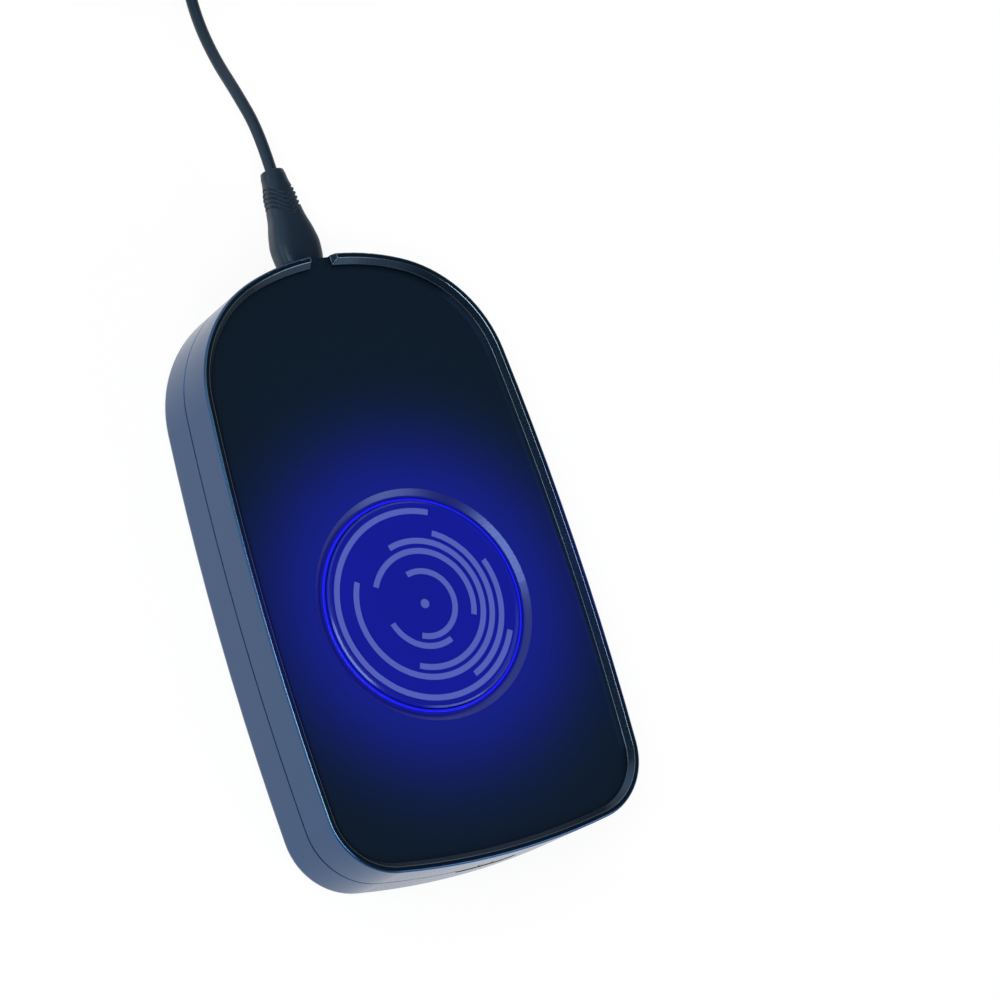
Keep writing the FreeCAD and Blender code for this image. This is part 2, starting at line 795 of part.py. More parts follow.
def make_chassis():
    plate = box(-chassis_half_width, chassis_half_width, chassis_front_y, chassis_back_y,
                chassis_bottom, chassis_top)
    upright = [edge for edge in plate.Edges if abs(edge.Length - chassis_thickness) < 1e-6]
    plate = plate.makeFillet(chassis_corner_radius, upright)
    hub_bottom = chassis_bottom - chassis_hub_depth
    plate = plate.fuse(cylinder(chassis_hub_radius, hub_bottom, chassis_bottom, 0, disc_axis_y))
    plate = plate.cut(bore(spindle_radius, hub_bottom, chassis_top, 0, disc_axis_y))
    plate = plate.cut(bore(idler_pin_radius, chassis_bottom, chassis_top, 0, idler_y))
    plate = plate.cut(bore(motor_boss_radius + fit_gap, chassis_bottom, chassis_top, 0, motor_y))
    for x, y in chassis_posts.values():
        plate = plate.cut(bore(small_screw_radius + fit_gap, chassis_bottom, chassis_top, x, y))
    for x in (-motor_ear_reach, motor_ear_reach):
        plate = plate.cut(bore(small_screw_radius + thread_gap, chassis_bottom, chassis_top, x, motor_y))
    return plate.removeSplitter()


def make_spindle():
    """The fixed pin that carries the turntable, grooved near its top for the clip."""
    top = clip_seat_z + clip_thickness + spindle_tip
    pin = cylinder(spindle_radius, chassis_bottom - chassis_hub_depth, top, 0, disc_axis_y)
    groove_low = clip_seat_z + running_gap
    groove = ring(spindle_radius + past, spindle_radius - clip_groove_depth, groove_low,
                  groove_low + clip_thickness, 0, disc_axis_y)
    return pin.cut(groove)


def make_spindle_clip():
    """An open ring in the spindle's groove, above the hub's ledge."""
    low = clip_seat_z + running_gap
    high = low + clip_thickness
    outer = hub_recess_radius - clip_edge_gap
    clip = ring(outer, spindle_radius - clip_groove_depth, low, high, 0, disc_axis_y)
    mouth = box(-clip_mouth / 2, clip_mouth / 2, disc_axis_y, disc_axis_y + outer, low - past, high + past)
    return clip.cut(mouth)


def make_thrust_washer():
    top = chassis_top + washer_thickness - washer_play
    return ring(hub_radius, spindle_radius + running_gap, chassis_top, top, 0, disc_axis_y)


def make_idler_pin():
    return cylinder(idler_pin_radius, chassis_bottom, plate_bottom - pinion_top_gap / 2, 0, idler_y)


# ======================= Light ring and its board =======================

def make_light_ring():
    inner = ring_outer_radius - ring_width
    collar = cylinder(ring_outer_radius, ring_bottom, ring_top, 0, disc_axis_y)
    collar = collar.makeFillet(ring_edge_radius, edges_at_height(collar, ring_top))
    flange_top = ring_bottom + ring_flange_thickness
    flange = cylinder(ring_outer_radius + ring_flange_width, ring_bottom, flange_top, 0, disc_axis_y)
    guide = collar.fuse(flange)
    return guide.cut(bore(inner, ring_bottom, ring_top, 0, disc_axis_y)).removeSplitter()


def make_light_board():
    board = ring(light_board_outer_radius, light_board_inner_radius, light_board_bottom, light_board_top,
                 0, disc_axis_y)
    for x, y in light_post_places():
        board = board.cut(bore(small_screw_radius + fit_gap, light_board_bottom, light_board_top, x, y))
    return board


def make_light(index):
    """One small lamp under the ring's flange."""
    centre = ring_outer_radius + ring_flange_width / 2
    lamp = box(centre - light_depth / 2, centre + light_depth / 2, -light_length / 2, light_length / 2,
               light_board_top, ring_bottom)
    lamp.rotate(Vector(0, 0, 0), Vector(0, 0, 1), 75 + 360 * index / light_count)
    lamp.translate(Vector(0, disc_axis_y, 0))
    return lamp


# ======================= Power button and switch =======================

def front_shell_slice(outer_inset, inner_inset):
    """The front stretch of the outline band, used to curve the button's faces."""
    reach = button_height / 2 + button_flange + past
    band = outline_band(outer_inset, inner_inset, seam_z - reach, seam_z + reach)
    front = box(-button_width, button_width, -half_length - past, switch_board_y,
                seam_z - reach - past, seam_z + reach + past)
    return band.common(front)


def make_power_button():
    back = -half_length + button_flange_back
    cap = pill_along_y(button_width, button_height, -half_length - past, back, seam_z)
    cap = cap.common(front_shell_slice(button_inset, button_flange_back))
    flange = pill_along_y(button_width + 2 * button_flange, button_height + 2 * button_flange,
                          -half_length - past, back + past, seam_z)
    flange = flange.common(front_shell_slice(button_flange_front, button_flange_back))
    stem = box(-button_stem_width / 2, button_stem_width / 2,
               back - button_flange_thickness / 2, plunger_front_y,
               seam_z - button_stem_height / 2, seam_z + button_stem_height / 2)
    return cap.fuse(flange).fuse(stem).cut(ring_mark()).removeSplitter()


def ring_mark():
    """A shallow engraved ring on the button's face."""
    front = Vector(0, -half_length - past, seam_z)
    depth = past + button_inset + button_mark_depth
    outer = Part.makeCylinder(button_mark_radius + button_mark_width / 2, depth, front, Vector(0, 1, 0))
    inner = Part.makeCylinder(button_mark_radius - button_mark_width / 2, depth, front, Vector(0, 1, 0))
    return outer.cut(inner)


def make_switch_plunger():
    return Part.makeCylinder(plunger_radius, plunger_reach + plunger_depth,
                             Vector(0, plunger_front_y, seam_z), Vector(0, 1, 0))


def make_tact_switch():
    half = switch_size / 2
    body = box(-half, half, switch_front_y, switch_board_y, seam_z - half, seam_z + half)
    body = body.makeChamfer(switch_edge_bevel, body.Edges)
    bore = Part.makeCylinder(plunger_radius + running_gap, plunger_depth + button_travel + plunger_end_gap,
                             Vector(0, switch_front_y, seam_z), Vector(0, 1, 0))
    return body.cut(bore)


def make_switch_board():
    half = switch_board_width / 2
    return box(-half, half, switch_board_y, switch_board_y + switch_board_thickness,
               floor_top, seam_z + switch_board_top)


# ======================= Main board and socket =======================

def make_main_board():
    half = main_board_width / 2
    board = box(-half, half, main_board_front_y, main_board_back_y, main_board_bottom, main_board_top)
    for side in (-1, 1):
        corner = box(side * half - board_notch_width, side * half + board_notch_width,
                     main_board_back_y - board_notch_depth, main_board_back_y + past,
                     main_board_bottom - past, main_board_top + past)
        board = board.cut(corner)
    for x, y in main_posts.values():
        board = board.cut(bore(small_screw_radius + fit_gap, main_board_bottom, main_board_top, x, y))
    return board


def make_usb_socket():
    """The metal socket, open towards the back, with the tongue inside it."""
    mouth = socket_mouth_y
    front = mouth - socket_depth
    inside = front + socket_back_wall
    corner = socket_corner_radius
    shell = rounded_bar_along("y", socket_width, socket_height, corner, front, mouth, 0, port_z)
    cavity = rounded_bar_along("y", socket_width - 2 * socket_wall, socket_height - 2 * socket_wall,
                               corner - socket_wall / 2, inside, mouth + past, 0, port_z)
    tongue = box(-tongue_width / 2, tongue_width / 2, inside - socket_wall, inside + tongue_length,
                 port_z - tongue_thickness / 2, port_z + tongue_thickness / 2)
    return shell.cut(cavity).fuse(tongue).removeSplitter()


def make_controller_chip():
    half = chip_size / 2
    middle = main_board_front_y + chip_setback
    chip_top = main_board_top + chip_height
    chip = box(-half, half, middle - half, middle + half, main_board_top, chip_top)
    return chip.makeChamfer(chip_bevel, edges_at_height(chip, chip_top))


def make_capacitor():
    x = main_board_width / 2 - capacitor_side_inset
    y = main_board_back_y - capacitor_back_inset
    top = main_board_top + capacitor_height
    body = cylinder(capacitor_radius, main_board_top, top, x, y)
    return body.makeFillet(capacitor_edge_radius, edges_at_height(body, top))


# ======================= Lead and plugs =======================

def make_plug_shell():
    """The hollow metal end of the micro plug, inside the socket."""
    tip = socket_mouth_y - plug_insertion
    end = plug_front_y + plug_pocket_depth
    corner = plug_shell_corner_radius
    shell = rounded_bar_along("y", plug_shell_width, plug_shell_height, corner, tip, end, 0, port_z)
    inner_width = plug_shell_width - 2 * plug_shell_wall
    inner_height = plug_shell_height - 2 * plug_shell_wall
    cavity = rounded_bar_along("y", inner_width, inner_height, corner - plug_shell_wall / 2,
                               tip - past, plug_front_y, 0, port_z)
    return shell.cut(cavity)


def plug_section(width, height, distance):
    """The plug's rounded outline, a distance out from its front face."""
    y = plug_front_y + distance
    bar = rounded_bar_along("y", width, height, height * plug_roundness, y, y + past, 0, port_z)
    flat = [face for face in bar.Faces if face.BoundBox.YMax < y + 1e-6]
    return flat[0].OuterWire


def plug_middle_size(share):
    """Width and height between the grip and the waist, a share of the way along."""
    ease = share * share * (3 - 2 * share)
    width = plug_grip_width + (plug_waist_width - plug_grip_width) * ease
    height = plug_grip_height + (plug_waist_height - plug_grip_height) * ease
    return width, height


def make_plug_body():
    """The moulded grip: it swells from the case, narrows to a ribbed waist and ends in a collar."""
    sections = [plug_section(plug_front_width, plug_front_height, 0),
                plug_section(plug_grip_width, plug_grip_height, plug_grip_at)]
    for share in (0.35, 0.7):
        width, height = plug_middle_size(share)
        sections.append(plug_section(width, height, plug_grip_at + share * (plug_waist_at - plug_grip_at)))
    waist_end = plug_waist_at + plug_waist_length
    sections.append(plug_section(plug_waist_width, plug_waist_height, plug_waist_at))
    sections.append(plug_section(plug_waist_width * 0.97, plug_waist_height, waist_end))
    sections.append(plug_section(plug_collar_width, plug_collar_height, plug_length - plug_collar_length))
    sections.append(plug_section(plug_collar_width, plug_collar_height, plug_length))
    body = Part.makeLoft(sections, True, False)
    end_edges = [edge for edge in body.Edges if edge.BoundBox.YMin > plug_end_y - 1e-3]
    body = body.makeFillet(plug_end_radius, end_edges)
    for index in range(rib_count):
        body = body.fuse(plug_rib(plug_waist_at + plug_waist_length * (index + 0.5) / rib_count))
    pocket = rounded_bar_along("y", plug_shell_width, plug_shell_height, plug_shell_corner_radius,
                               plug_front_y - past, plug_front_y + plug_pocket_depth, 0, port_z)
    return body.cut(pocket)


def plug_rib(distance):
    """One raised band round the waist."""
    width = plug_waist_width + 2 * rib_proud
    height = plug_waist_height + 2 * rib_proud
    low = plug_front_y + distance - rib_thickness / 2
    corner = height * plug_roundness
    return rounded_bar_along("y", width, height, corner, low, low + rib_thickness, 0, port_z)


def bend_radius(before, corner, after):
    """Radius of the arc at a corner: 0.45 of the shorter run over tan(half the turn)."""
    run_in = corner - before
    run_out = after - corner
    turn = run_in.getAngle(run_out)
    return 0.45 * min(run_in.Length, run_out.Length) / math.tan(turn / 2), turn


def rounded_path(route):
    """Straight runs joined by tangent arcs through a list of points; also the radii."""
    points = [Vector(*place) for place in route]
    edges = []
    radii = []
    start = points[0]
    for before, corner, after in zip(points, points[1:], points[2:]):
        radius, turn = bend_radius(before, corner, after)
        reach = radius * math.tan(turn / 2)
        into = (corner - before).normalize()
        out = (after - corner).normalize()
        arc_start = corner - into * reach
        arc_end = corner + out * reach
        inward = (out - into).normalize()
        arc_middle = corner + inward * (radius / math.cos(turn / 2) - radius)
        edges.append(Part.LineSegment(start, arc_start).toShape())
        edges.append(Part.Arc(arc_start, arc_middle, arc_end).toShape())
        radii.append(radius)
        start = arc_end
    edges.append(Part.LineSegment(start, points[-1]).toShape())
    return Part.Wire(edges), radii


def tube_along(route, radius, name):
    wire, radii = rounded_path(route)
    start = wire.Edges[0]
    direction = start.tangentAt(start.FirstParameter)
    section = Part.Wire(Part.makeCircle(radius, Vector(*route[0]), direction))
    tube = wire.makePipeShell([section], True, False)
    expected = math.pi * radius ** 2 * wire.Length
    print(name, "length", round(wire.Length, 1), "radii", [round(value, 1) for value in radii],
          "volume / expected", round(tube.Volume / expected, 4))
    return tube


def cable_run_route():
    """From the near plug's end, down to the table and on to the coil."""
    return [(0.0, plug_end_y, port_z)] + [(x, plug_end_y + step, z) for x, step, z in cable_run_steps]


def cable_tail_route():
    """From the top of the coil to the far plug."""
    return [(coil_centre_x + x, coil_centre_y + y, z) for x, y, z in cable_tail_steps]


def coil_width():
    """Radial width of the coil: its turns lie a cable's width apart, spiralling in and out."""
    return 2 * cable_radius * (coil_turns / coil_layers + 1)


def coil_block(grow, z_low, z_high):
    outer = coil_mid_radius + coil_width() / 2 + grow
    inner = coil_mid_radius - coil_width() / 2 - grow
    return ring(outer, inner, z_low, z_high, coil_centre_x, coil_centre_y)


def make_cable_coil():
    coil = coil_block(0, coil_lift, coil_top)
    rims = edges_at_height(coil, coil_top) + edges_at_height(coil, coil_lift)
    round_edges = [edge for edge in rims if edge.Curve.TypeId == "Part::GeomCircle"]
    return coil.makeFillet(cable_radius * 0.9, round_edges)


def make_cable_tie():
    band = coil_block(tie_thickness, coil_lift - tie_thickness, coil_top + tie_thickness)
    middle = coil_mid_radius
    slab = box(middle - coil_width(), middle + coil_width(), -tie_width / 2, tie_width / 2,
               -past, coil_top + tie_thickness + past)
    slab.rotate(Vector(0, 0, 0), Vector(0, 0, 1), tie_angle)
    slab.translate(Vector(coil_centre_x, coil_centre_y, 0))
    return band.cut(coil_block(0, coil_lift, coil_top)).common(slab)


def make_far_plug_body():
    """The moulded grip of the far plug, at the end of the tail."""
    x, y, z = cable_tail_route()[-1]
    relief = Part.makeCone(far_relief_radius, far_relief_end_radius, far_relief_length,
                           Vector(x, y, z), Vector(1, 0, 0))
    low = x + far_relief_length
    high = low + far_plug_length
    grip = rounded_bar_along("x", far_plug_width, far_plug_height, far_grip_radius, low, high, y, z)
    pocket = box(high - far_pocket_depth, high + past,
                 y - far_shell_width / 2, y + far_shell_width / 2,
                 z - far_shell_height / 2, z + far_shell_height / 2)
    return relief.fuse(grip).cut(pocket).removeSplitter()


def make_far_plug_shell():
    """The hollow metal end of the far plug, with its tongue."""
    x, y, z = cable_tail_route()[-1]
    grip_end = x + far_relief_length + far_plug_length
    low = grip_end - far_pocket_depth
    high = grip_end + far_shell_length
    half_width = far_shell_width / 2
    half_height = far_shell_height / 2
    shell = box(low, high, y - half_width, y + half_width, z - half_height, z + half_height)
    inner_width = half_width - far_shell_wall
    inner_height = half_height - far_shell_wall
    cavity = box(grip_end, high + past, y - inner_width, y + inner_width,
                 z - inner_height, z + inner_height)
    tongue = box(grip_end - root, high - far_tongue_inset, y - inner_width, y + inner_width,
                 z - inner_height, z - inner_height + far_tongue_thickness)
    return shell.cut(cavity).fuse(tongue).removeSplitter()


# ======================= Leads inside the case =======================

def bowed_way(start, end, bow, heights):
    """Points between two places in plan, swung sideways by bow in the middle, at given heights."""
    points = []
    for share, z in zip(lead_shares, heights):
        x = start[0] + (end[0] - start[0]) * share + bow * math.sin(math.pi * share)
        y = start[1] + (end[1] - start[1]) * share
        points.append((x, y, z))
    return points


def make_motor_lead():
    """From the motor's side to the underside of the main board."""
    z = motor_bottom + motor_lead_rise
    start_y = motor_y + motor_radius
    end_y = main_board_front_y + lead_board_inset
    return tube_along([
        (0.0, start_y, z),
        (0.0, (start_y + end_y) / 2, z),
        (motor_lead_side, end_y, z),
        (motor_lead_side, end_y, main_board_bottom),
    ], lead_radius, "motor_lead")


def make_switch_lead():
    """From the switch board along the case floor to the underside of the main board."""
    z = floor_top + lead_radius + lead_floor_gap
    start = (switch_lead_start, switch_board_y + switch_board_thickness)
    end = (switch_lead_side, main_board_front_y + lead_board_inset)
    way = bowed_way(start, end, switch_lead_bow, [z] * len(lead_shares))
    route = [(*start, z)] + way + [(*end, z), (*end, main_board_bottom)]
    return tube_along(route, lead_radius, "switch_lead")


def make_light_lead():
    """From the light board over the chassis to the top of the main board."""
    middle = (light_board_inner_radius + light_board_outer_radius) / 2
    angle = math.radians(light_lead_angle)
    start = (middle * math.cos(angle), disc_axis_y + middle * math.sin(angle))
    end = (light_lead_side, main_board_front_y + lead_board_inset)
    low = light_board_bottom - light_lead_drop
    high = main_board_top + light_lead_arch
    way = bowed_way(start, end, light_lead_bow, [low] * (len(lead_shares) - 1) + [high])
    route = [(*start, light_board_bottom), (*start, low)] + way[1:] + [(*end, main_board_top)]
    return tube_along(route, lead_radius, "light_lead")


# ======================= Build every piece =======================

def build_case():
    save("upper_shell", make_upper_shell())
    save("lower_shell", make_lower_shell())
    for name, (x, y) in case_screws.items():
        save("foot_" + name, make_foot(x, y))
        save("case_screw_" + name, make_screw(x, y, shell_bottom + head_seat_height,
                                              case_screw_radius, case_screw_length, 1))


def build_drive():
    save("chassis_plate", make_chassis())
    for name, (x, y) in chassis_posts.items():
        screw = make_screw(x, y, chassis_top, small_screw_radius, small_screw_length, -1)
        save("chassis_screw_" + name, screw)
    save("spindle", make_spindle())
    save("spindle_clip", make_spindle_clip())
    save("thrust_washer", make_thrust_washer())
    save("turntable", make_turntable())
    save("pattern_disc", make_pattern_disc())
    save("idler_pin", make_idler_pin())
    save("idler_gear", make_idler())
    save("motor", make_motor())
    save("motor_flange", make_motor_flange())
    save("motor_shaft", make_motor_shaft())
    save("motor_pinion", make_motor_pinion())
    for name, x in (("left", -motor_ear_reach), ("right", motor_ear_reach)):
        length = motor_flange_thickness + chassis_thickness
        save("motor_screw_" + name, make_screw(x, motor_y, motor_top, small_screw_radius, length, 1))


def build_lights():
    save("light_ring", make_light_ring())
    save("light_board", make_light_board())
    for index in range(light_count):
        save("light_" + str(index + 1), make_light(index))
    for index, (x, y) in enumerate(light_post_places()):
        save("light_screw_" + str(index + 1),
             make_screw(x, y, light_board_bottom, small_screw_radius, light_screw_length, 1))


def build_controls():
    save("power_button", make_power_button())
    save("switch_plunger", make_switch_plunger())
    save("tact_switch", make_tact_switch())
    save("switch_board", make_switch_board())
    save("main_board", make_main_board())
    for name, (x, y) in main_posts.items():
        screw = make_screw(x, y, main_board_top, small_screw_radius, small_screw_length, -1)
        save("main_screw_" + name, screw)
    save("usb_socket", make_usb_socket())
    save("controller_chip", make_controller_chip())
    save("capacitor", make_capacitor())
    save("motor_lead", make_motor_lead())
    save("light_lead", make_light_lead())
    save("switch_lead", make_switch_lead())


def build_cable():
    save("plug_shell", make_plug_shell())
    save("plug_body", make_plug_body())
    save("cable_run", tube_along(cable_run_route(), cable_radius, "cable_run"))
    save("cable_coil", make_cable_coil())
    save("cable_tie", make_cable_tie())
    save("cable_tail", tube_along(cable_tail_route(), cable_radius, "cable_tail"))
    save("far_plug_body", make_far_plug_body())
    save("far_plug_shell", make_far_plug_shell())


os.makedirs("parts", exist_ok=True)
build_case()
build_drive()
build_lights()
build_controls()
build_cable()
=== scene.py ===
"""Looks of the turntable mouse mover, in metres, round the solids of its frame.

Adds the camera, the lead with its two moulded grips, the disc's print and lip, the materials, the
lamps, the floor and the backdrop. The solids of the frame keep their places and only get materials.
"""
import json
import math

import bpy
from mathutils import Matrix, Vector


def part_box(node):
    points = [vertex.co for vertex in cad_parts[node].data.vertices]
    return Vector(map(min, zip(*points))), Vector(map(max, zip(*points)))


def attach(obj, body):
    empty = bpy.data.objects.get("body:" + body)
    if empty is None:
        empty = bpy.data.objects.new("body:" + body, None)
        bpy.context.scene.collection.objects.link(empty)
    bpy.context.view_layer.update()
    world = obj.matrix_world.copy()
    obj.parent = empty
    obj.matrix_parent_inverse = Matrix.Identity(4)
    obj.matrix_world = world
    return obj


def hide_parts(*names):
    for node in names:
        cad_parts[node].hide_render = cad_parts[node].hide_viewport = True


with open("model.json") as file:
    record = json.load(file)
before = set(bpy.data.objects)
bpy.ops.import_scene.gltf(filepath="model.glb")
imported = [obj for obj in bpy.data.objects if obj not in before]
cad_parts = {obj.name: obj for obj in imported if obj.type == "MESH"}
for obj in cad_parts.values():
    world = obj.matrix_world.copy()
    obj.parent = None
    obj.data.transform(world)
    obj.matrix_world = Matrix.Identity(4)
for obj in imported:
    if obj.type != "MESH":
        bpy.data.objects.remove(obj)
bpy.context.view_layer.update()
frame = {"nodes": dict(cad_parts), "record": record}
nodes = frame["nodes"]


# ---- Camera: where it stands, what it looks at, its turn about that line, its lens in mm ----
camera_place = Vector((-0.3218, -0.1054, 0.5780))
camera_aim = Vector((0.0243, 0.0066, 0.0200))
camera_roll = math.radians(57.106)
camera_lens = 117.98
camera_near = 0.01

# ---- Disc: its axis, radius and top face ----
disc_low, disc_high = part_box("pattern_disc")
disc_axis = Vector(((disc_low.x + disc_high.x) / 2, (disc_low.y + disc_high.y) / 2, 0))
disc_radius = (disc_high.x - disc_low.x) / 2
disc_top = disc_high.z

# ---- Print: how far it reaches above and below the disc's top, and its arcs and dot ----
print_depth = 0.00004
arc_width = 0.0012
arc_step = 3
arc_fewest_steps = 8
arcs = [
    # (radius, start and end in degrees)
    (0.0192, 69, 332),
    (0.0171, 291, 381),
    (0.0150, 152, 425),
    (0.0130, 246, 468),
    (0.0109, 337, 511),
    (0.0087, 197, 293),
    (0.0067, 246, 467),
]
dot_radius = 0.00095
dot_corners = 48

# ---- Lip round the disc: its outer slope's width, its rise and its inner slope's foot ----
lip_width = 0.00034
lip_rise = 0.00020
lip_foot = 3 * lip_width
lip_corners = 240

# ---- Lead: the same route as the solids, from the near plug to the coil and on to the far one ----
cable_radius = 0.00125
lead_exit = (0.0, 0.0850, 0.0133)
run_points = [
    lead_exit,
    (0.0002, 0.0940, 0.0129),
    (-0.0003, 0.1040, 0.0098),
    (-0.0002, 0.1140, 0.0050),
    (0.0002, 0.1245, 0.0019),
    (0.0011, 0.1355, 0.0013),
    (0.0006, 0.1450, 0.0016),
    (-0.0005, 0.1525, 0.0019),
]
tail_points = [
    (-0.0125, 0.1379, 0.0094),
    (-0.0055, 0.1382, 0.0086),
    (0.0030, 0.1389, 0.0067),
    (0.0120, 0.1386, 0.0048),
    (0.0210, 0.1378, 0.0043),
]

# ---- Coil of the lead: points per turn, and the share of a turn that a climb to a layer takes ----
coil_centre = (-0.0198, 0.1565)
coil_mid_radius = 0.015
coil_turns = 11.75
coil_layers = 4
coil_lift = 0.0007
coil_steps = 16
layer_climb = 0.2

# ---- Moulded grips, in millimetres: (distance from the face, width, height, squareness) ----
near_grip = [
    (0.0, 8.3, 5.7, 2.6),
    (0.25, 9.0, 6.2, 2.8),
    (0.9, 9.5, 6.6, 3.0),
    (2.6, 10.0, 6.9, 3.2),
    (5.4, 10.3, 7.0, 3.3),
    (8.6, 9.1, 6.6, 3.2),
    (11.2, 7.6, 6.0, 3.1),
    (13.6, 6.9, 5.8, 3.0),
    (16.4, 6.6, 5.7, 2.9),
    (18.2, 5.7, 5.3, 2.6),
    (19.4, 5.2, 5.1, 2.3),
    (20.6, 5.3, 5.1, 2.2),
    (21.3, 5.2, 5.0, 2.1),
    (21.6, 4.8, 4.6, 2.1),
    (21.7, 4.2, 4.0, 2.1),
]
far_grip = [
    (0.0, 13.6, 6.4, 3.4),
    (0.3, 14.6, 7.2, 3.8),
    (1.2, 15.3, 7.8, 4.6),
    (5.0, 15.3, 7.8, 4.8),
    (10.0, 14.5, 7.6, 4.6),
    (15.0, 15.2, 7.8, 4.6),
    (18.0, 14.8, 7.6, 4.2),
    (20.2, 12.8, 7.0, 3.4),
    (21.2, 9.0, 6.1, 2.7),
    (22.2, 6.4, 5.4, 2.3),
    (24.0, 5.6, 5.0, 2.1),
    (26.7, 4.6, 4.4, 2.0),
    (27.0, 4.0, 3.8, 2.0),
]
grip_smoothing = 0.8
grip_corners = 96

# ---- Grooves of the grips, in millimetres: (first groove, pitch, count, chevron rise) ----
near_grooves = (11.7, 0.98, 5, 1.6)
far_grooves = (7.4, 1.3, 5, 0.0)
groove_depth = 0.42
groove_half_width = 0.3
chevron_flat = 0.86
chevron_wrap = 0.5

# ---- Rows of points along a grip, in millimetres: close at its ends and grooves ----
close_step = 0.13
wide_step = 0.35
end_reach = 0.5
groove_margin = 1


# ======================= Objects and meshes =======================

def add_object(name, data):
    item = bpy.data.objects.new(name, data)
    bpy.context.scene.collection.objects.link(item)
    return item


def make_mesh(name, verts, faces):
    mesh = bpy.data.meshes.new(name)
    mesh.from_pydata(verts, [], faces)
    mesh.validate()
    return mesh


def tube_faces(rows, around):
    """Faces of a tube whose points run round it row by row, with a face over each end."""
    faces = []
    for row in range(rows - 1):
        for index in range(around):
            a = row * around + index
            b = row * around + (index + 1) % around
            faces.append((a, b, b + around, a + around))
    last_row = (rows - 1) * around
    faces.append(tuple(reversed(range(around))))
    faces.append(tuple(range(last_row, last_row + around)))
    return faces


def about_axis(radius, angle, z):
    """The point at a distance and an angle from the disc's axis."""
    return (disc_axis.x + radius * math.cos(angle), disc_axis.y + radius * math.sin(angle), z)


# ======================= Camera =======================

def make_camera():
    data = bpy.data.cameras.new("camera")
    data.lens = camera_lens
    data.clip_start = camera_near
    camera = add_object("camera", data)
    towards = camera_aim - camera_place
    turn = towards.to_track_quat("-Z", "Y").to_matrix().to_4x4()
    roll = Matrix.Rotation(camera_roll, 4, "Z")
    camera.matrix_world = Matrix.Translation(camera_place) @ turn @ roll
    bpy.context.scene.camera = camera


# ======================= Lead =======================

def coil_points():
    """The wound turns: each layer spirals in or out, a cable's width from turn to turn."""
    diameter = 2 * cable_radius
    turns_each = coil_turns / coil_layers
    reach = diameter * turns_each
    climb = layer_climb / turns_each
    points = []
    for step in range(int(coil_turns * coil_steps) + 1):
        turns = step / coil_steps
        layer = min(int(turns / turns_each), coil_layers - 1)
        share = turns / turns_each - layer
        inward = share if layer % 2 == 0 else 1 - share
        radius = coil_mid_radius + reach * (0.5 - inward)
        rise = max(0.0, (share - 1 + climb) / climb) if layer < coil_layers - 1 else 0.0
        angle = 2 * math.pi * turns
        x = coil_centre[0] + radius * math.cos(angle)
        y = coil_centre[1] + radius * math.sin(angle)
        points.append((x, y, coil_lift + cable_radius + diameter * (layer + rise)))
    return points


def profile_at(profile, distance):
    """Width, height and squareness at a distance, in a straight line from row to row."""
    for first, second in zip(profile, profile[1:]):
        if distance <= second[0]:
            share = (distance - first[0]) / (second[0] - first[0])
            return [a + (b - a) * share for a, b in zip(first[1:], second[1:])]
    return list(profile[-1][1:])


def smoothed(profile, distance):
    """The profile averaged over a short length, so that its rows leave no kinks."""
    reach = min(grip_smoothing, distance, profile[-1][0] - distance)
    rows = [profile_at(profile, distance + reach * offset) for offset in (-1, -0.5, 0, 0.5, 1)]
    return [sum(values) / len(rows) for values in zip(*rows)]


def grip_stops(length, grooves):
    """Where the rows of points lie along a grip."""
    first, pitch, count, rise = grooves
    low = first - groove_margin
    high = first + pitch * count + rise + groove_margin
    stops = [0.0]
    while stops[-1] < length:
        place = stops[-1]
        close = low < place < high or place > length - end_reach or place < end_reach
        stops.append(min(length, place + (close_step if close else wide_step)))
    return stops


def groove_at(along, across, up, grooves):
    """How deep a groove is at a place; the grooves run in chevrons over the flat faces."""
    first, pitch, count, rise = grooves
    rises = rise * (min(1.0, abs(across) / chevron_flat) + chevron_wrap * (1 - abs(up)))
    turns = (along - rises - first) / pitch
    nearest = min(max(round(turns), 0), count - 1)
    away = abs(turns - nearest) * pitch
    return groove_depth * max(0.0, 1 - away / groove_half_width)


def grip_mesh(name, profile, grooves):
    """A moulded grip along +Y from its face, in millimetres about its own axis."""
    stops = grip_stops(profile[-1][0], grooves)
    verts = []
    for along in stops:
        width, height, square = smoothed(profile, along)
        for index in range(grip_corners):
            angle = 2 * math.pi * index / grip_corners
            across = math.copysign(abs(math.cos(angle)) ** (2 / square), math.cos(angle))
            up = math.copysign(abs(math.sin(angle)) ** (2 / square), math.sin(angle))
            inward = groove_at(along, across, up, grooves)
            verts.append((across * (width / 2 - inward), along, up * (height / 2 - inward)))
    mesh = make_mesh(name, verts, tube_faces(len(stops), grip_corners))
    for face in mesh.polygons:
        face.use_smooth = len(face.vertices) == 4
    return mesh


def add_grip(name, node, mesh, turn, face):
    """Puts a grip where the metal end leaves it, in place of the plain solid."""
    grip = add_object(name, mesh)
    to_metres = Matrix.Scale(0.001, 4)
    grip.matrix_world = Matrix.Translation(face) @ Matrix.Rotation(turn, 4, "Z") @ to_metres
    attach(grip, "lead")
    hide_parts(node)
    return grip


def make_grips():
    low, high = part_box("plug_body")
    near_face = Vector(((low.x + high.x) / 2, low.y, (low.z + high.z) / 2))
    near_mesh = grip_mesh("plug_grip", near_grip, near_grooves)
    near = add_grip("plug_grip", "plug_body", near_mesh, 0.0, near_face)
    low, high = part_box("far_plug_body")
    far_face = Vector((high.x, (low.y + high.y) / 2, (low.z + high.z) / 2))
    far_mesh = grip_mesh("far_plug_grip", far_grip, far_grooves)
    far = add_grip("far_plug_grip", "far_plug_body", far_mesh, math.radians(90), far_face)
    return [near, far]


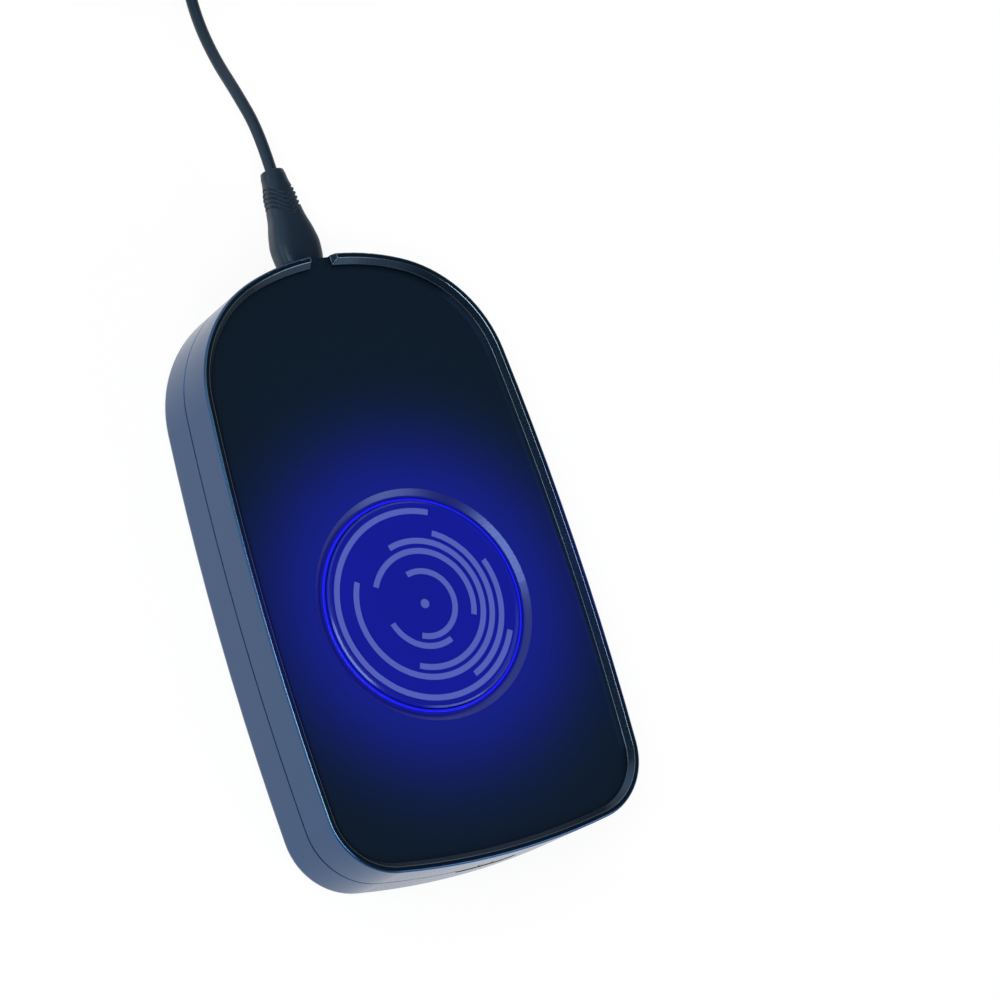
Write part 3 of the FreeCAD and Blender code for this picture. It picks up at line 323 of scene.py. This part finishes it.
def make_lead():
    """The lead as one curve: its points carry its radius, so its bevel depth is 1."""
    data = bpy.data.curves.new("usb_lead", "CURVE")
    data.dimensions = "3D"
    data.bevel_depth = 1.0
    data.bevel_resolution = 6
    data.resolution_u = 6
    data.use_fill_caps = True
    points = run_points + coil_points() + tail_points
    spline = data.splines.new("NURBS")
    spline.points.add(len(points) - 1)
    for point, place in zip(spline.points, points):
        point.co = (*place, 1.0)
        point.radius = cable_radius
    spline.order_u = 3
    spline.use_endpoint_u = True
    lead = add_object("usb_lead", data)
    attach(lead, "lead")
    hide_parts("cable_run", "cable_coil", "cable_tail")
    return lead


# ======================= Material helpers =======================

# A noise mostly keeps to this middle range of its values.
noise_low = 0.3
noise_high = 0.7

# The colour mix's sockets share their names with its number sockets, so they go by place.
mix_share = 0
mix_first = 6
mix_second = 7
mix_result = 2

# Scale of the broad changes of tone in plastics, and the finish that all metals share
broad_scale = 60
metal_grain = 900
metal_bump = 0.000004
metal_stretch = (0.08, 1.0, 1.0)
metal_spread = 0.06
metal_dark = 0.9
metal_light = 1.06


class Shader:
    """A material's node tree, with short calls for the nodes that repeat."""

    def __init__(self, name):
        self.material = bpy.data.materials.new(name)
        self.material.use_nodes = True
        self.tree = self.material.node_tree
        self.surface = self.tree.nodes["Principled BSDF"]
        self.output = self.tree.nodes["Material Output"]
        self.place = self.tree.nodes.new("ShaderNodeTexCoord").outputs["Object"]

    def node(self, kind, **settings):
        item = self.tree.nodes.new("ShaderNode" + kind)
        for key, value in settings.items():
            setattr(item, key, value)
        return item

    def link(self, source, target):
        self.tree.links.new(source, target)

    def feed(self, name, source):
        """Links a socket to the surface's input of that name."""
        self.link(source, self.surface.inputs[name])

    def set(self, **values):
        """Sets the surface's inputs to constants."""
        for key, value in values.items():
            self.surface.inputs[key.replace("_", " ")].default_value = value

    def math(self, operation, first, second=None):
        item = self.node("Math", operation=operation)
        for socket, value in zip(item.inputs, (first, second)):
            if value is None:
                continue
            if isinstance(value, (int, float)):
                socket.default_value = value
            else:
                self.link(value, socket)
        return item.outputs["Value"]

    def times(self, first, *others):
        for value in others:
            first = self.math("MULTIPLY", first, value)
        return first

    def parts(self, vector):
        """The X, Y and Z sockets of a vector."""
        item = self.node("SeparateXYZ")
        self.link(vector, item.inputs["Vector"])
        return item.outputs

    def normal(self):
        return self.node("NewGeometry").outputs["Normal"]

    def noise(self, scale, detail, roughness=0.55, place=None):
        item = self.node("TexNoise")
        item.inputs["Scale"].default_value = scale
        item.inputs["Detail"].default_value = detail
        item.inputs["Roughness"].default_value = roughness
        self.link(self.place if place is None else place, item.inputs["Vector"])
        return item.outputs["Fac"]

    def bands(self, scale, distortion=0.0):
        """Diagonal bands, as values from 0 to 1."""
        item = self.node("TexWave", wave_type="BANDS", bands_direction="DIAGONAL")
        item.inputs["Scale"].default_value = scale
        item.inputs["Distortion"].default_value = distortion
        self.link(self.place, item.inputs["Vector"])
        return item.outputs["Fac"]

    def remap(self, source, from_low, from_high, to_low, to_high):
        item = self.node("MapRange")
        item.inputs["From Min"].default_value = from_low
        item.inputs["From Max"].default_value = from_high
        item.inputs["To Min"].default_value = to_low
        item.inputs["To Max"].default_value = to_high
        self.link(source, item.inputs["Value"])
        return item.outputs["Result"]

    def vary(self, source, low, high):
        """Turns a noise into values between low and high."""
        return self.remap(source, noise_low, noise_high, low, high)

    def tones(self, source, dark, light):
        """Turns a noise or bands into colours between dark and light."""
        item = self.node("ValToRGB")
        stops = item.color_ramp.elements
        stops[0].position = noise_low
        stops[0].color = (*dark, 1)
        stops[1].position = noise_high
        stops[1].color = (*light, 1)
        self.link(source, item.inputs["Fac"])
        return item.outputs["Color"]

    def between(self, share, first, second):
        """A colour that goes from first to second as share rises; each is a colour or a socket."""
        mix = self.node("Mix", data_type="RGBA")
        self.link(share, mix.inputs[mix_share])
        for socket, colour in ((mix.inputs[mix_first], first), (mix.inputs[mix_second], second)):
            if isinstance(colour, tuple):
                socket.default_value = (*colour, 1)
            else:
                self.link(colour, socket)
        return mix.outputs[mix_result]

    def bump(self, source, height):
        item = self.node("Bump")
        item.inputs["Strength"].default_value = 1.0
        item.inputs["Distance"].default_value = height
        self.link(source, item.inputs["Height"])
        self.feed("Normal", item.outputs["Normal"])


def shade(colour, factor):
    return tuple(channel * factor for channel in colour)


def grained(name, roughness, spread=0.05, grain=2600, height=0.000006):
    """A surface with fine grain and uneven gloss, whose colour is still to be given."""
    shader = Shader(name)
    fine = shader.noise(grain, detail=4)
    shader.feed("Roughness", shader.vary(fine, roughness - spread, roughness + spread))
    shader.bump(fine, height)
    return shader


def moulded(name, colour, roughness, variation=0.12, **grain):
    """Moulded plastic or rubber: grained, with slight, broad changes of tone."""
    shader = grained(name, roughness, **grain)
    dark = shade(colour, 1 - variation)
    light = shade(colour, 1 + variation)
    broad = shader.noise(broad_scale, detail=2)
    shader.feed("Base Color", shader.tones(broad, dark, light))
    return shader


def metal(name, colour, roughness):
    """Drawn or plated metal with fine streaks along one way."""
    shader = Shader(name)
    stretch = shader.node("Mapping")
    stretch.inputs["Scale"].default_value = metal_stretch
    shader.link(shader.place, stretch.inputs["Vector"])
    stretched = stretch.outputs["Vector"]
    streaks = shader.noise(metal_grain, detail=3, roughness=0.5, place=stretched)
    tones = shader.tones(streaks, shade(colour, metal_dark), shade(colour, metal_light))
    shader.feed("Base Color", tones)
    gloss = shader.vary(streaks, roughness - metal_spread, roughness + metal_spread)
    shader.feed("Roughness", gloss)
    shader.bump(streaks, metal_bump)
    shader.set(Metallic=1.0)
    return shader


def distance_from_axis(shader):
    """How far a point lies from the disc's axis, in metres."""
    parts = shader.parts(shader.place)
    across = shader.math("SUBTRACT", parts["X"], disc_axis.x)
    along = shader.math("SUBTRACT", parts["Y"], disc_axis.y)
    squares = shader.math("ADD", shader.times(across, across), shader.times(along, along))
    return shader.math("SQRT", squares)


def bell(shader, distance, middle, spread):
    """1 at the middle distance, and less on both sides of it along a bell curve."""
    away = shader.math("DIVIDE", shader.math("SUBTRACT", distance, middle), spread)
    return shader.math("EXPONENT", shader.times(away, away, -1.0))


# ======================= Case =======================

case_roughness = 0.19
case_ior = 2.4

# Outer walls, floor of the tray, well round the disc, and rim: colour and tint of the gloss
outer_colour = (0.0036, 0.0042, 0.0022)
outer_tint = (0.06, 0.32, 0.92)
inner_colour = (0.0040, 0.0100, 0.0188)
inner_tint = (0.07, 0.12, 0.20)
# The well's and the rim's colours are darker than the floor's: painted shade in the groove round
# the disc and on the rim
well_shade_colour = (0.0010, 0.0020, 0.0045)
well_tint = (0.15, 0.22, 0.50)
rim_shade_colour = (0.0014, 0.0040, 0.0080)
rim_tint = (0.10, 0.17, 0.29)
edge_tint = (0.50, 0.78, 1.00)

# Where the finishes meet: the well's reach from the disc's axis, the height at which the rim
# starts, and how far out from the case's middle a face that looks outward lies
well_reach = 0.0240
rim_level = 0.0210
outward_low = 0.018
outward_high = 0.028

# How much rougher the well is than the rest
well_haze = 0.13

# How far the rim's normal points up, and whether the rim is a shiny edge there
edge_stops = (
    (0.02, 0),
    (0.08, 1),
    (0.55, 1),
    (0.62, 0),
    (0.72, 0),
    (0.78, 1),
    (0.94, 1),
    (0.98, 0),
)

# Painted glow on the tray in place of the ring's light: strongest at glow_start from the disc's
# axis, and quick to fade on faces that don't look up, by the power glow_facing, so that the well's
# slope shows darker
glow_colour = (0.012, 0.012, 1.0)
glow_strength = 0.225
glow_start = 0.020
glow_spread = 0.0145
glow_facing = 3.0


def case_finish(name):
    """Near-black satin plastic with a blue sheen."""
    shader = moulded(name, outer_colour, case_roughness, spread=0.04, grain=2400, height=0.000004)
    shader.set(IOR=case_ior, Specular_Tint=(*outer_tint, 1))
    return shader


def outward_share(shader):
    """1 where a face looks away from the middle of the case, 0 where it looks up or inward."""
    sideways = shader.node("VectorMath", operation="MULTIPLY")
    shader.link(shader.place, sideways.inputs[0])
    sideways.inputs[1].default_value = (1, 1, 0)
    facing = shader.node("VectorMath", operation="DOT_PRODUCT")
    shader.link(sideways.outputs["Vector"], facing.inputs[0])
    shader.link(shader.normal(), facing.inputs[1])
    return shader.remap(facing.outputs["Value"], outward_low, outward_high, 0.0, 1.0)


def shiny_edges(shader):
    """1 on the rounded edges of the rim, 0 on its flat, sloping and upright faces."""
    edge = shader.node("ValToRGB")
    stops = edge.color_ramp.elements
    while len(stops) < len(edge_stops):
        stops.new(0.5)
    for stop, (place, share) in zip(stops, edge_stops):
        stop.position = place
        stop.color = (share, share, share, 1)
    shader.link(shader.parts(shader.normal())["Z"], edge.inputs["Fac"])
    return edge.outputs["Color"]


def tray_plastic():
    """Satin outside, matt inside and hazy in the well, with painted shade as darker colour in the
    well and on the rim, and a painted glow for the ring's light round the disc.
    """
    shader = case_finish("tray_plastic")
    outward = outward_share(shader)
    distance = distance_from_axis(shader)
    tray = shader.math("GREATER_THAN", distance, well_reach)
    rim = shader.math("GREATER_THAN", shader.parts(shader.place)["Z"], rim_level)
    edges = shiny_edges(shader)
    # The well's and the rim's darker colours are painted shade
    for target, well, inner, flat, edge, outer in (
        ("Base Color", well_shade_colour, inner_colour, rim_shade_colour, rim_shade_colour, outer_colour),
        ("Specular Tint", well_tint, inner_tint, rim_tint, edge_tint, outer_tint),
    ):
        low = shader.between(tray, well, inner)
        high = shader.between(edges, flat, edge)
        inside = shader.between(rim, low, high)
        shader.feed(target, shader.between(outward, inside, outer))
    gloss = shader.surface.inputs["Roughness"].links[0].from_socket
    haze = shader.times(shader.math("SUBTRACT", 1.0, tray), well_haze)
    shader.feed("Roughness", shader.math("ADD", gloss, haze))
    # Painted glow for the ring's light on the tray, fading on faces that look less upward
    upward = shader.math("MAXIMUM", shader.parts(shader.normal())["Z"], 0.0)
    facing = shader.math("POWER", upward, glow_facing)
    glow = shader.times(bell(shader, distance, glow_start, glow_spread), facing, glow_strength)
    shader.set(Emission_Color=(*glow_colour, 1))
    shader.feed("Emission Strength", glow)
    return shader


# ======================= Disc and ring =======================

disc_colour = (0.0042, 0.0080, 0.300)
disc_roughness = 0.55
disc_grain = 3000
disc_bump = 0.000002
disc_variation = 0.04
disc_ior = 1.2
lip_roughness = 0.18
lip_ior = 1.5
lip_tint = (0.45, 0.65, 1.0)
ink_dark = (0.072, 0.099, 0.412)
ink_light = (0.103, 0.138, 0.533)
hatch_scale = 1100

# The ring's own light, along a fine line, and a painted glow on the disc's side wall in place of
# the light that the ring throws there, which rises from nothing to side_glow between two depths
# below the disc's radius
ring_colour = (0.004, 0.006, 0.20)
ring_roughness = 0.35
ring_light = (0.0, 0.002, 1.0)
ring_line = 0.0218
ring_spread = 0.00024
ring_uneven = (0.9, 1.1)
side_glow = 0.18
side_starts = 0.00015
side_full = 0.00002


def disc_print():
    """The disc's plain blue ground, with a painted glow on its side wall for the ring's light."""
    shader = moulded("disc_print", disc_colour, disc_roughness, grain=disc_grain,
                     height=disc_bump, variation=disc_variation)
    shader.set(IOR=disc_ior, Emission_Color=(*ring_light, 1))
    # Painted glow on the side wall, standing in for the ring's light there
    distance = distance_from_axis(shader)
    start = disc_radius - side_starts
    full = disc_radius - side_full
    shader.feed("Emission Strength", shader.remap(distance, start, full, 0.0, side_glow))
    return shader


def disc_gloss():
    """The disc's lip, as blue as its face but shiny."""
    shader = moulded("disc_gloss", disc_colour, lip_roughness, spread=0.04, grain=disc_grain,
                     height=disc_bump, variation=disc_variation)
    shader.set(IOR=lip_ior, Specular_Tint=(*lip_tint, 1))
    return shader


def printed_ink():
    """Pale blue ink in a fine diagonal hatch."""
    shader = grained("printed_ink", disc_roughness, grain=disc_grain, height=disc_bump)
    shader.feed("Base Color", shader.tones(shader.bands(hatch_scale), ink_dark, ink_light))
    shader.set(IOR=disc_ior)
    return shader


def light_guide():
    """Frosted ring lit from within: brightest along a fine line, a little uneven round it."""
    shader = moulded("light_guide", ring_colour, ring_roughness, grain=1500)
    shader.set(Emission_Color=(*ring_light, 1))
    line = bell(shader, distance_from_axis(shader), ring_line, ring_spread)
    uneven = shader.vary(shader.noise(scale=180, detail=2), *ring_uneven)
    shader.feed("Emission Strength", shader.times(line, uneven))
    return shader


def lamp_lens():
    shader = moulded("lamp", colour=(0.55, 0.60, 0.90), roughness=0.3, grain=2000)
    shader.set(Emission_Color=(0.1, 0.15, 1.0, 1), Emission_Strength=1.0)
    return shader


# ======================= Other materials =======================

# Plain plastics: colour and roughness
plain_plastics = {
    "turntable_plastic": ((0.010, 0.012, 0.060), 0.50),
    "gear_plastic": ((0.62, 0.60, 0.54), 0.40),
    "chip": ((0.02, 0.02, 0.02), 0.50),
    "switch_plastic": ((0.03, 0.03, 0.03), 0.45),
    "tie_plastic": ((0.02, 0.02, 0.022), 0.40),
    "lead_jacket": ((0.40, 0.03, 0.02), 0.45),
}

# Metals: colour and roughness
metals = {
    "steel": ((0.56, 0.57, 0.58), 0.30),
    "zinc": ((0.62, 0.61, 0.58), 0.38),
    "capacitor_can": ((0.66, 0.67, 0.68), 0.25),
    "plug_metal": ((0.70, 0.70, 0.71), 0.22),
}


def rubber_foot():
    return moulded("rubber_foot", colour=(0.018, 0.018, 0.020), roughness=0.75, grain=1500,
                   height=0.00002)


def board():
    """Green board with faint tracks under the mask."""
    shader = grained("board", roughness=0.35, grain=1200)
    tracks = shader.bands(scale=260, distortion=3)
    shader.feed("Base Color", shader.tones(tracks, (0.010, 0.070, 0.030), (0.020, 0.120, 0.050)))
    return shader


def cable_jacket():
    shader = moulded("cable_jacket", colour=(0.0095, 0.0175, 0.0310), roughness=0.36, spread=0.06,
                     grain=1800, height=0.000010)
    shader.set(IOR=1.38, Specular_Tint=(0.5, 0.75, 1.0, 1))
    return shader


def make_materials():
    """The material of each slot."""
    shaders = {slot: moulded(slot, *finish) for slot, finish in plain_plastics.items()}
    for slot, finish in metals.items():
        shaders[slot] = metal(slot, *finish)
    shaders["case_plastic"] = case_finish("case_plastic")
    shaders["button_plastic"] = case_finish("button_plastic")
    shaders["disc_print"] = disc_print()
    shaders["light_guide"] = light_guide()
    shaders["lamp"] = lamp_lens()
    shaders["rubber_foot"] = rubber_foot()
    shaders["board"] = board()
    shaders["cable_jacket"] = cable_jacket()
    return {slot: shader.material for slot, shader in shaders.items()}


def dress_nodes(materials):
    """Gives each solid the material of its slot, and the tray its own finish."""
    slots = {part["node"]: part["material_slot"] for part in frame["record"]["subparts"]}
    for name, node in nodes.items():
        for slot in node.material_slots:
            slot.material = materials[slots[name]]
    tray = tray_plastic().material
    for slot in nodes["upper_shell"].material_slots:
        slot.material = tray


# ======================= Print and lip =======================

def arc_mesh(radius, start, end):
    """A flat band along an arc about the disc's axis, its angles in degrees."""
    steps = max(arc_fewest_steps, int(abs(end - start) / arc_step))
    verts = []
    for step in range(steps + 1):
        angle = math.radians(start + (end - start) * step / steps)
        for edge in (radius - arc_width / 2, radius + arc_width / 2):
            for z in (disc_top - print_depth, disc_top + print_depth):
                verts.append(about_axis(edge, angle, z))
    faces = []
    for step in range(steps):
        a = 4 * step
        b = a + 4
        faces.append((a + 1, a + 3, b + 3, b + 1))
        faces.append((a, b, b + 2, a + 2))
        faces.append((a, a + 1, b + 1, b))
        faces.append((a + 2, b + 2, b + 3, a + 3))
    last = 4 * steps
    faces.append((0, 2, 3, 1))
    faces.append((last, last + 1, last + 3, last + 2))
    return make_mesh("arc", verts, faces)


def dot_mesh():
    verts = []
    for z in (disc_top - print_depth, disc_top + print_depth):
        for index in range(dot_corners):
            verts.append(about_axis(dot_radius, 2 * math.pi * index / dot_corners, z))
    return make_mesh("dot", verts, tube_faces(2, dot_corners))


def lip_mesh():
    """A thin ring on the disc that rises from its side wall to a low crest and falls inward."""
    section = [
        (disc_radius + print_depth, disc_top - print_depth),
        (disc_radius - lip_width, disc_top + lip_rise),
        (disc_radius - lip_foot, disc_top - print_depth),
    ]
    corners = len(section)
    verts = []
    for index in range(lip_corners):
        for radius, z in section:
            verts.append(about_axis(radius, 2 * math.pi * index / lip_corners, z))
    faces = []
    for index in range(lip_corners):
        here = index * corners
        after = (index + 1) % lip_corners * corners
        for corner in range(corners):
            beside = (corner + 1) % corners
            faces.append((here + corner, after + corner, after + beside, here + beside))
    return make_mesh("disc_edge", verts, faces)


def add_to_disc(name, mesh, material):
    mesh.materials.append(material)
    piece = add_object(name, mesh)
    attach(piece, "turntable")


def make_print():
    ink = printed_ink().material
    for index, arc in enumerate(arcs):
        add_to_disc("printed_arc_" + str(index + 1), arc_mesh(*arc), ink)
    add_to_disc("printed_dot", dot_mesh(), ink)
    add_to_disc("disc_edge", lip_mesh(), disc_gloss().material)


# ======================= Light and floor =======================

floor_reach = 4.0
floor_z = -0.00005
floor_glow = 0.88
backdrop_radius = 3.2
backdrop_height = 1.3
backdrop_sides = 96
backdrop_glow = 0.97

# Seen directly, floor and backdrop are part glow and part lit colour, which is a little more than
# what the glow leaves of white. All other light meets the pale colour.
pale_colour = (0.8, 0.8, 0.8)
lit_share = 1.12

world_colour = (0.86, 0.94, 1.0)
world_strength = 0.15

# Lamps: name, place, width, length, the direction of the length, and watts
lamps = [
    ("key_lamp", (-0.92, -0.38, 1.6), 0.5, 1.5, (0.35, -0.94, 0), 22),
    ("side_lamp", (-1.9, 0.2, 0.45), 0.4, 2.0, (0, 1, 0), 11),
    ("front_lamp", (0.75, -1.05, 0.75), 0.8, 0.8, (0, 0, 1), 6),
    ("fill_lamp", (-0.5, 1.3, 1.2), 2.2, 2.2, (1, 0, 0), 12),
]


def seen_directly(shader):
    """1 for camera, glossy and transmission rays, 0 for the rest."""
    path = shader.node("LightPath").outputs
    direct = shader.math("MAXIMUM", path["Is Camera Ray"], path["Is Glossy Ray"])
    return shader.math("MAXIMUM", direct, path["Is Transmission Ray"])


def pale_material(name, glow):
    """A surface that shows as white and still takes a soft shadow."""
    shader = Shader(name)
    plain = shader.node("BsdfDiffuse")
    plain.inputs["Color"].default_value = (*pale_colour, 1)
    soft = shader.node("BsdfDiffuse")
    soft.inputs["Color"].default_value = [lit_share * (1 - glow)] * 3 + [1]
    light = shader.node("Emission")
    light.inputs["Color"].default_value = (1, 1, 1, 1)
    light.inputs["Strength"].default_value = glow
    both = shader.node("AddShader")
    shader.link(soft.outputs[0], both.inputs[0])
    shader.link(light.outputs[0], both.inputs[1])
    mix = shader.node("MixShader")
    shader.link(seen_directly(shader), mix.inputs[0])
    shader.link(plain.outputs[0], mix.inputs[1])
    shader.link(both.outputs[0], mix.inputs[2])
    shader.link(mix.outputs[0], shader.output.inputs["Surface"])
    return shader.material


def make_floor():
    corners = ((-1, -1), (1, -1), (1, 1), (-1, 1))
    verts = [(x * floor_reach, y * floor_reach, floor_z) for x, y in corners]
    mesh = make_mesh("floor", verts, [(0, 1, 2, 3)])
    mesh.materials.append(pale_material("floor", floor_glow))
    floor = add_object("floor", mesh)


def make_backdrop():
    """A low pale wall all round, so that the sides reflect the same white as the floor."""
    verts = []
    faces = []
    for index in range(backdrop_sides):
        angle = 2 * math.pi * index / backdrop_sides
        x = backdrop_radius * math.cos(angle)
        y = backdrop_radius * math.sin(angle)
        verts.append((x, y, 0))
        verts.append((x, y, backdrop_height))
        here = 2 * index
        after = 2 * ((index + 1) % backdrop_sides)
        faces.append((here, here + 1, after + 1, after))
    mesh = make_mesh("backdrop", verts, faces)
    mesh.materials.append(pale_material("backdrop", backdrop_glow))
    wall = add_object("backdrop", mesh)


def make_lamp(name, place, width, length, along, power):
    """A rectangular lamp that looks at the origin, its length as near the direction as it can."""
    data = bpy.data.lights.new(name, "AREA")
    data.shape = "RECTANGLE"
    data.size = width
    data.size_y = length
    data.energy = power
    back = Vector(place).normalized()
    side = Vector(along).cross(back).normalized()
    turn = Matrix((side, back.cross(side), back)).transposed().to_4x4()
    add_object(name, data).matrix_world = Matrix.Translation(place) @ turn


def make_world():
    world = bpy.data.worlds.new("world")
    world.use_nodes = True
    sky = world.node_tree.nodes["Background"]
    sky.inputs["Color"].default_value = (*world_colour, 1)
    sky.inputs["Strength"].default_value = world_strength
    bpy.context.scene.world = world


def light_scene():
    make_floor()
    make_backdrop()
    make_world()
    for lamp in lamps:
        make_lamp(*lamp)
    bpy.context.scene.view_settings.view_transform = "Standard"


# ======================= Put together =======================

make_camera()
grips = make_grips()
lead = make_lead()
materials = make_materials()
dress_nodes(materials)
for piece in grips + [lead]:
    piece.data.materials.append(materials["cable_jacket"])
make_print()
light_scene()
